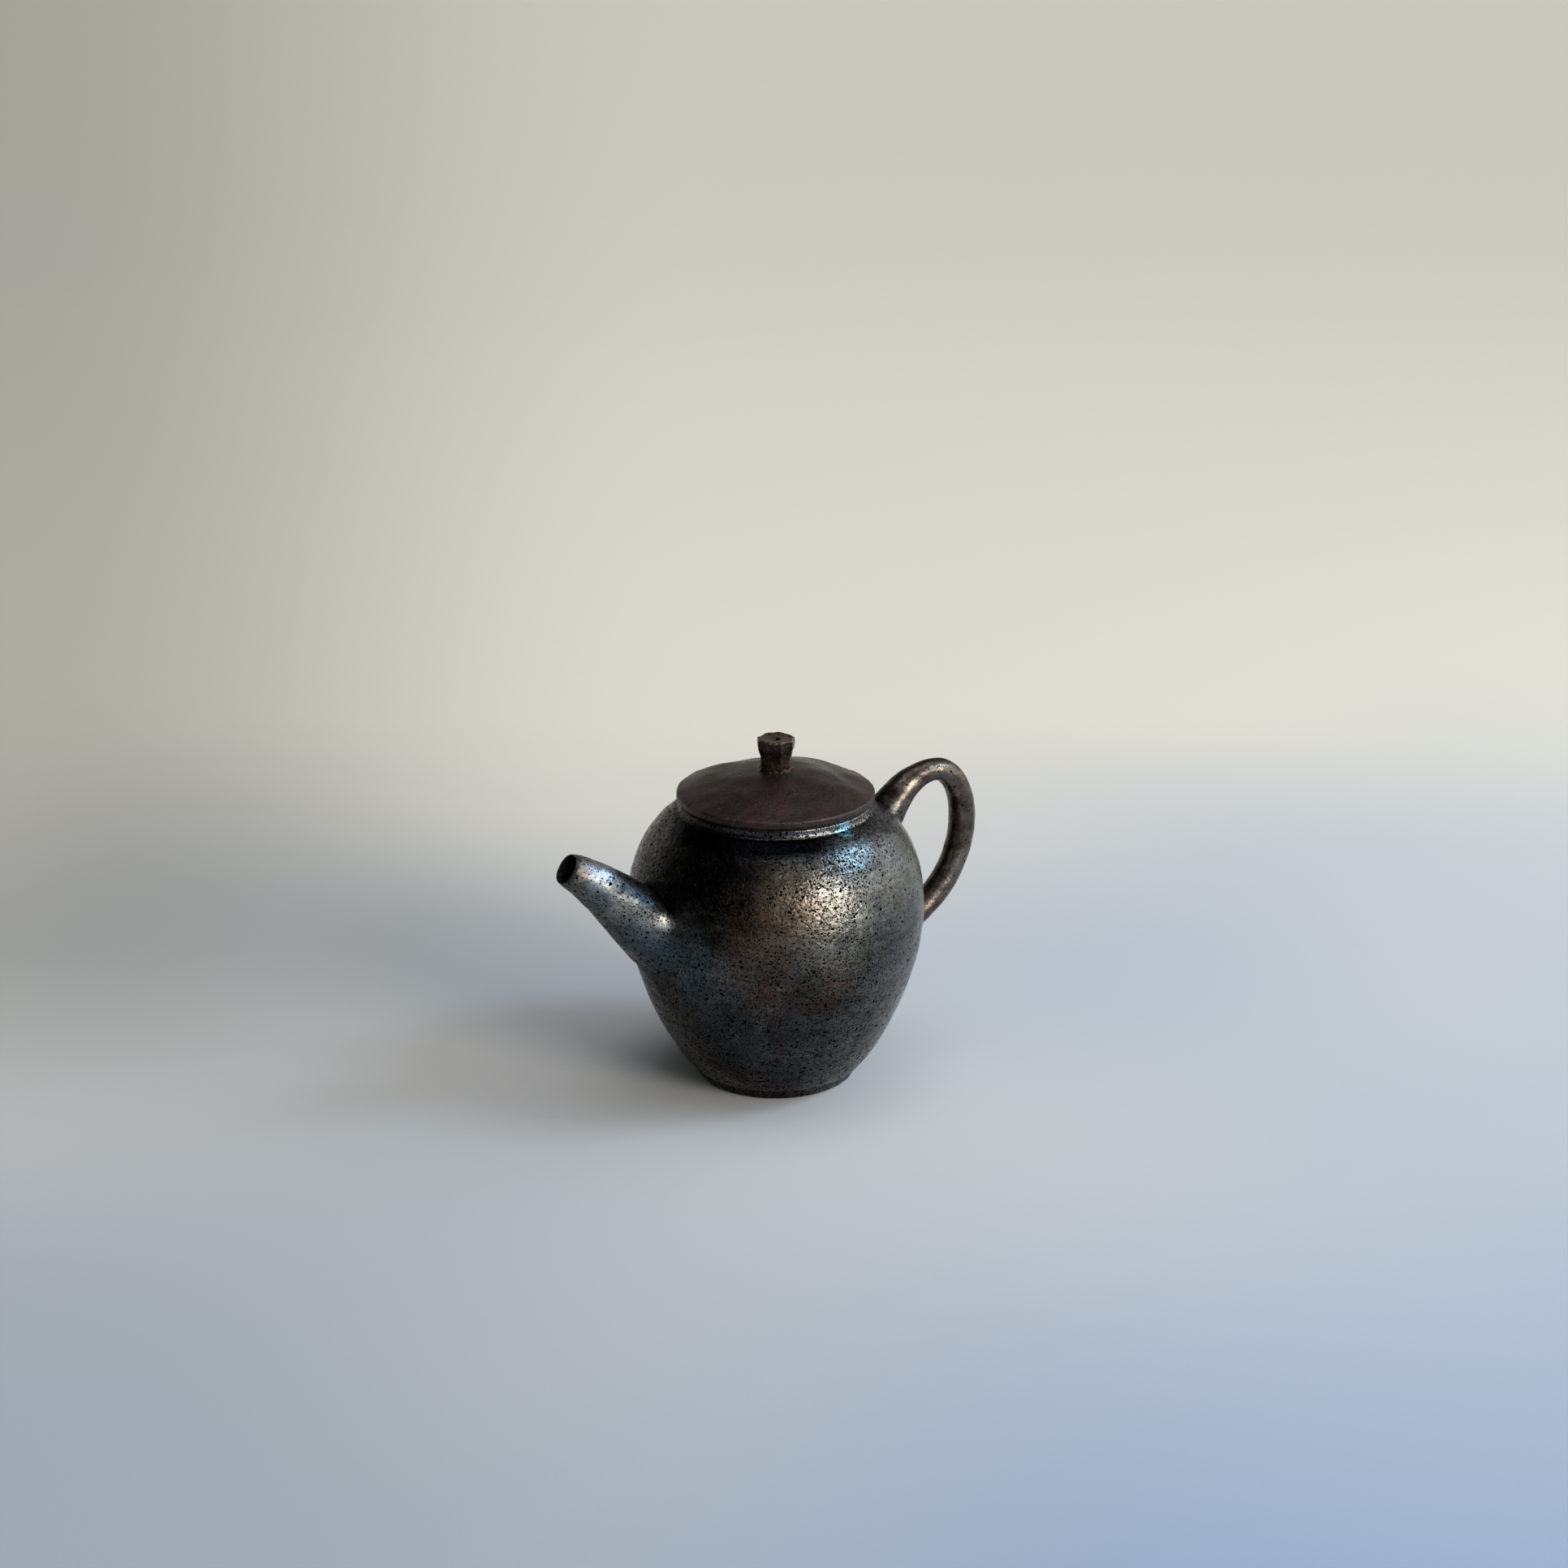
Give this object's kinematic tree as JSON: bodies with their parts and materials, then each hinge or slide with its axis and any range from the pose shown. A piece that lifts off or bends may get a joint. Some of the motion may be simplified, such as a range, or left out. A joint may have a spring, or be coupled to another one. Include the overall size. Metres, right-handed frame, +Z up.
{
  "type": "kyusu",
  "caption": "Round glazed clay teapot with a short bored spout in front, a looped handle behind, a pierced strainer inside the spout and a loose domed lid with a cut knob.",
  "frame": {"origin": "on the pot's axis, on the surface that the foot ring stands on", "axes": "+Z up along the pot's axis, +X towards the handle, -X towards the spout"},
  "size_m": [0.1574, 0.1, 0.1182],
  "materials": {
    "body_glaze": "dark pewter glaze with a metallic sheen, bluish and bronze patches and fine pits",
    "foot_glaze": "the same glaze, browner and more matt, with a bare flat underneath",
    "spout_glaze": "blue silver glaze with dark specks",
    "handle_glaze": "bronze brown glaze with dark specks",
    "inner_clay": "matt dark brown fired clay",
    "lid_clay": "matt dark purple brown, a little greyer at the back, with a speckled rim",
    "flange_clay": "bare matt brown clay",
    "knob_clay": "matt dark brown, paler on the cut edges"
  },
  "bodies": {
    "pot": {"pot_body": "body_glaze", "foot_ring": "foot_glaze", "spout": "spout_glaze", "strainer": "inner_clay", "handle": "handle_glaze"},
    "lid": {"lid": "lid_clay", "lid_flange": "flange_clay", "lid_knob": "knob_clay"}
  },
  "joints": [
    {"name": "lid_lift", "type": "slide", "parent": "pot", "child": "lid", "axis": [0, 0, 1], "range_m": [0, 0.06]}
  ]
}
